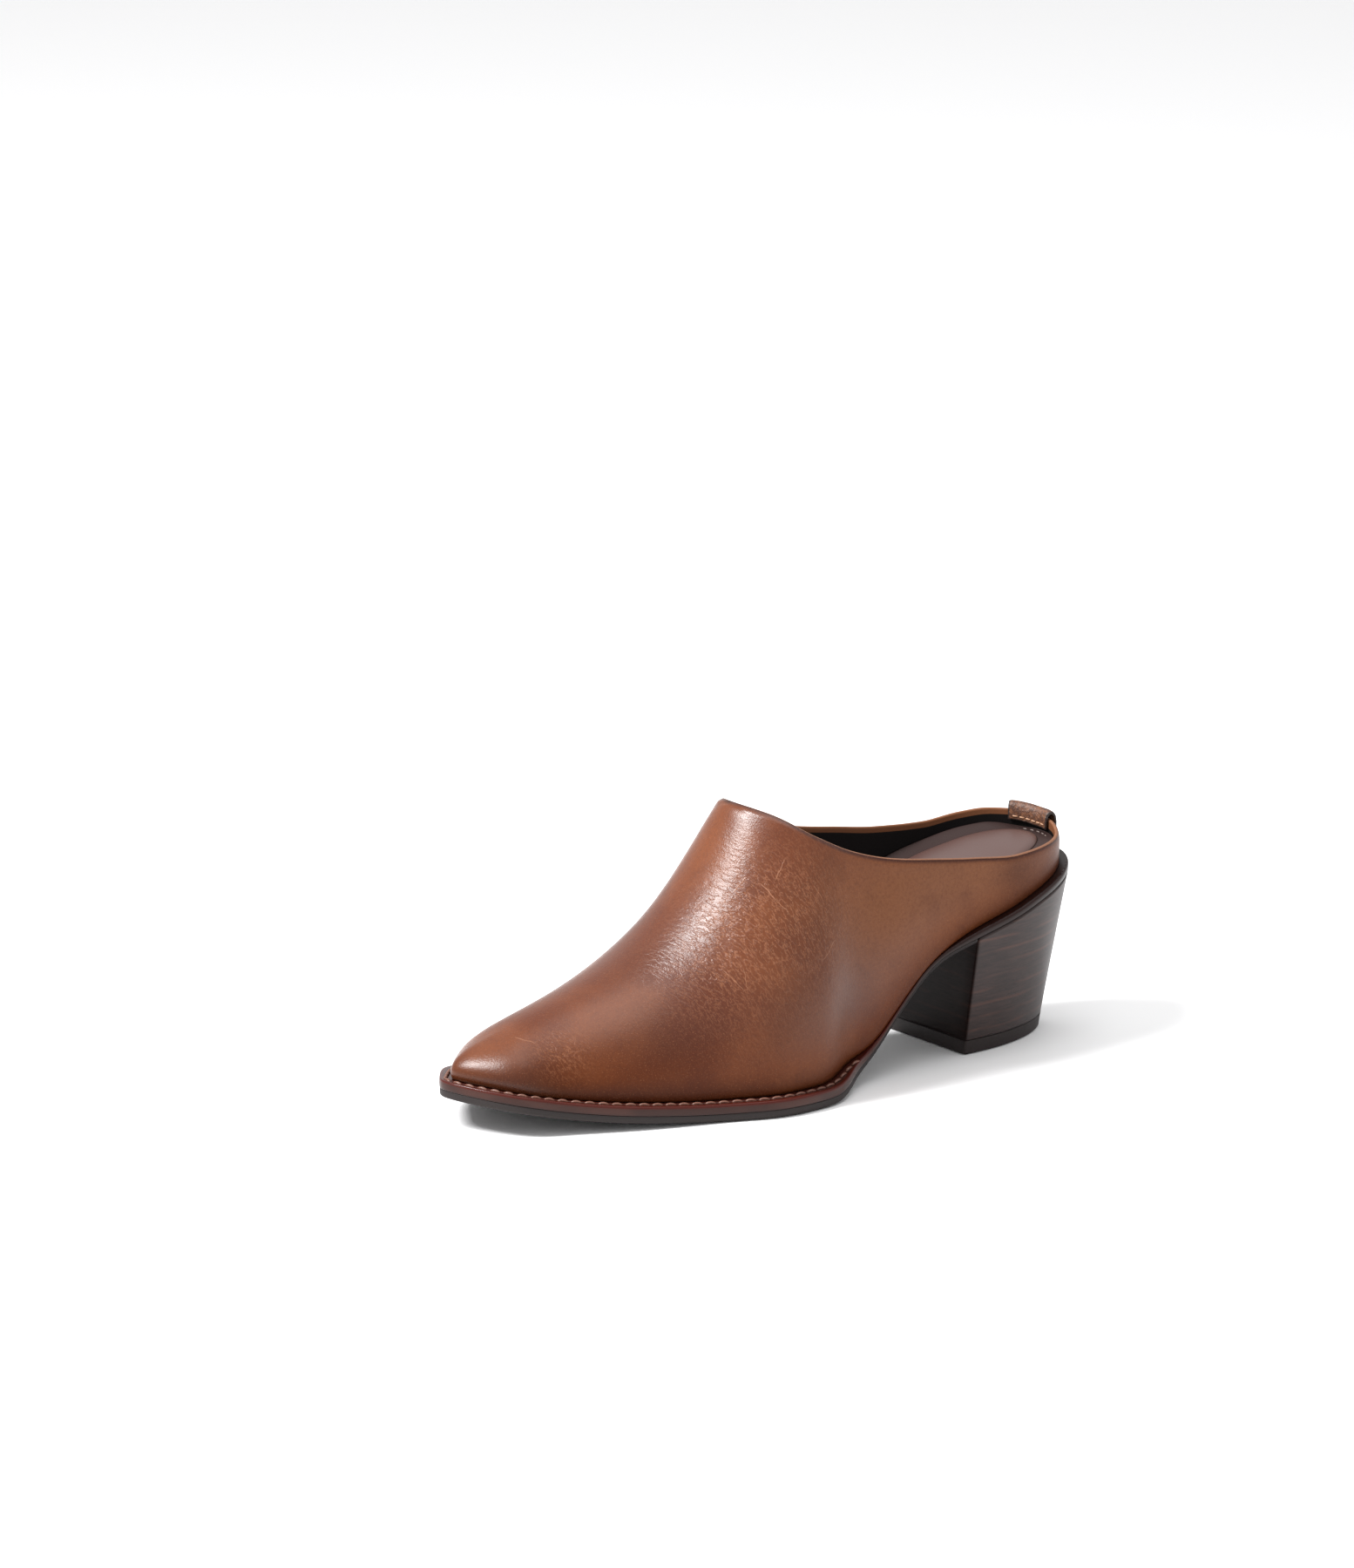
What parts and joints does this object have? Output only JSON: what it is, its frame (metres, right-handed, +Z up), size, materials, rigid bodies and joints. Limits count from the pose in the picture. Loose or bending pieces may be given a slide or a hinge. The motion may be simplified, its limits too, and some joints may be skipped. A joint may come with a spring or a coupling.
{
  "type": "mule shoe",
  "caption": "Slip-on mule with a pointed toe, a closed leather vamp cut low round the heel, a stitched welt and a tall flared block heel.",
  "frame": {"origin": "centre of the shoe's bounding box in plan, on the floor", "axes": "+X from the heel to the toe, +Y to the shoe's outer (lateral) side, +Z up"},
  "size_m": [0.2472, 0.0924, 0.096],
  "materials": {
    "upper_leather": "smooth waxed mid-brown leather with a soft sheen",
    "tab_leather": "the same leather, with dark raw edges",
    "sock_leather": "smooth dark grey-brown, satin",
    "pad_leather": "padded dark mauve-brown, glossy",
    "welt_leather": "reddish dark brown edge, satin",
    "outsole_rubber": "black, matt",
    "stacked_heel": "very dark brown stacked layers, satin",
    "lift_rubber": "dark brown, matt"
  },
  "bodies": {
    "root": {"upper": "upper_leather", "back_tab": "tab_leather", "insole": "sock_leather", "heel_pad": "pad_leather", "midsole": "welt_leather", "outsole": "outsole_rubber", "heel_block": "stacked_heel", "top_lift": "lift_rubber"}
  },
  "joints": []
}
